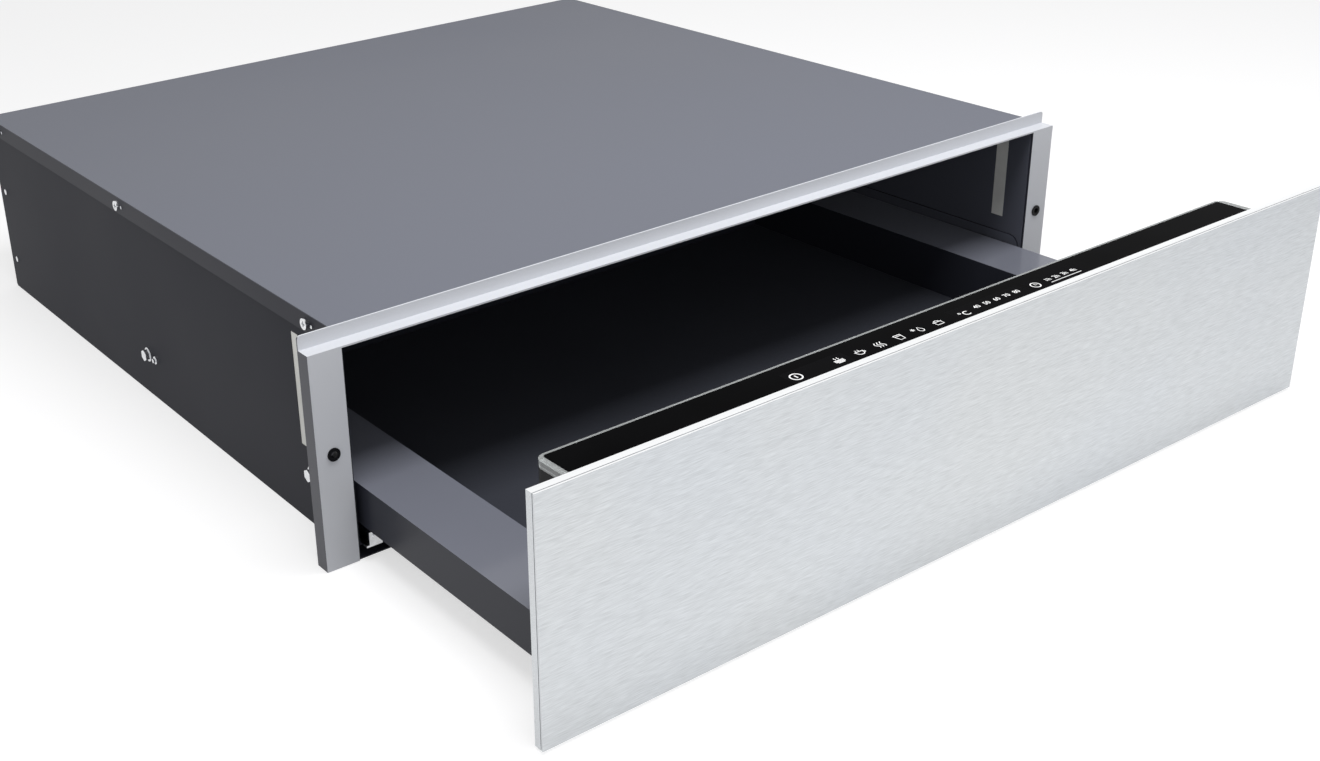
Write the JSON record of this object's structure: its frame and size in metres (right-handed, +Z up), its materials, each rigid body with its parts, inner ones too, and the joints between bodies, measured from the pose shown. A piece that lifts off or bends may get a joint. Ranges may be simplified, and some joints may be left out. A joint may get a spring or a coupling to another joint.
{
  "type": "built-in warming drawer",
  "caption": "Low built-in warming drawer: steel housing and frame, sliding tray with a brushed steel front and touch-glass control strip, rear fan heater.",
  "frame": {"origin": "centre of the housing's underside", "axes": "+X to the right seen from the front, +Y to the back of the niche, +Z up; the drawer opens along -Y"},
  "size_m": [0.595, 0.738, 0.1384],
  "materials": {
    "housing_paint": "satin powder coat",
    "cover_paint": "satin powder coat",
    "frame_paint": "satin metallic paint",
    "tray_paint": "satin powder coat",
    "black_plastic": "fine texture",
    "zinc": "bright zinc plate",
    "white_plastic": "matt",
    "galvanised": "galvanised sheet",
    "element_steel": "heat-darkened",
    "motor_metal": "satin",
    "board_green": "solder mask",
    "component_plastic": "moulded",
    "cage_metal": "plain",
    "mat_rubber": "matt, finely textured",
    "brushed_front": "fine horizontal grain",
    "black_glass": "polished black glass",
    "rubber": "matt",
    "aluminium": "rolled"
  },
  "bodies": {
    "housing": {"base_pan": "housing_paint", "side_panel_left": "housing_paint", "side_panel_right": "housing_paint", "rear_panel": "housing_paint", "top_cover": "cover_paint", "front_post_left": "frame_paint", "front_post_right": "frame_paint", "top_rail": "frame_paint", "post_grommets": "black_plastic", "cover_screws": "zinc", "slide_bolts": "zinc", "rear_rivets": "zinc", "wall_strip_left": "white_plastic", "wall_strip_right": "white_plastic", "slide_bracket_left": "housing_paint", "slide_bracket_right": "housing_paint", "slide_fixed_left": "zinc", "slide_fixed_right": "zinc", "slide_rivets": "zinc", "bulkhead": "tray_paint", "fan_shroud": "galvanised", "heating_element": "element_steel", "element_clips": "galvanised", "fan_motor": "motor_metal", "motor_bracket": "galvanised", "thermal_cutout": "black_plastic", "temperature_sensor": "zinc", "control_board": "board_green", "board_components": "component_plastic", "board_standoffs": "white_plastic", "terminal_block": "white_plastic", "cable_gland": "black_plastic", "gland_nut": "black_plastic", "latch_body": "white_plastic"},
    "drawer": {"slide_drawer_left": "zinc", "slide_drawer_right": "zinc", "drawer_tray": "tray_paint", "drawer_mat": "mat_rubber", "front_panel": "brushed_front", "front_carrier": "black_plastic", "control_box": "black_plastic", "control_glass": "black_glass", "touch_board": "board_green", "front_screws": "zinc", "front_bumpers": "rubber", "latch_striker": "zinc"},
    "cage_left": {"ball_cage_left": "cage_metal", "slide_balls_left": "zinc"},
    "cage_right": {"ball_cage_right": "cage_metal", "slide_balls_right": "zinc"},
    "impeller": {"fan_impeller": "aluminium"},
    "plunger": {"latch_plunger": "black_plastic"}
  },
  "joints": [
    {"name": "drawer_slide", "type": "slide", "parent": "housing", "child": "drawer", "axis": [0, -1, 0], "range_m": [-0.186, 0.134]},
    {"name": "cage_left_slide", "type": "slide", "parent": "housing", "child": "cage_left", "axis": [0, -1, 0], "range_m": [-0.093, 0.067]},
    {"name": "cage_right_slide", "type": "slide", "parent": "housing", "child": "cage_right", "axis": [0, -1, 0], "range_m": [-0.093, 0.067]},
    {"name": "fan_spin", "type": "hinge", "parent": "housing", "child": "impeller", "pos_m": [0, 0.175, 0.074], "axis": [0, 1, 0], "continuous": true},
    {"name": "latch_push", "type": "slide", "parent": "housing", "child": "plunger", "axis": [0, 1, 0], "range_m": [0, 0.008], "stiffness_N_per_m": 300}
  ],
  "couplings": [
    {"joint": "cage_left_slide", "follows": "drawer_slide", "ratio": 0.5},
    {"joint": "cage_right_slide", "follows": "drawer_slide", "ratio": 0.5}
  ]
}
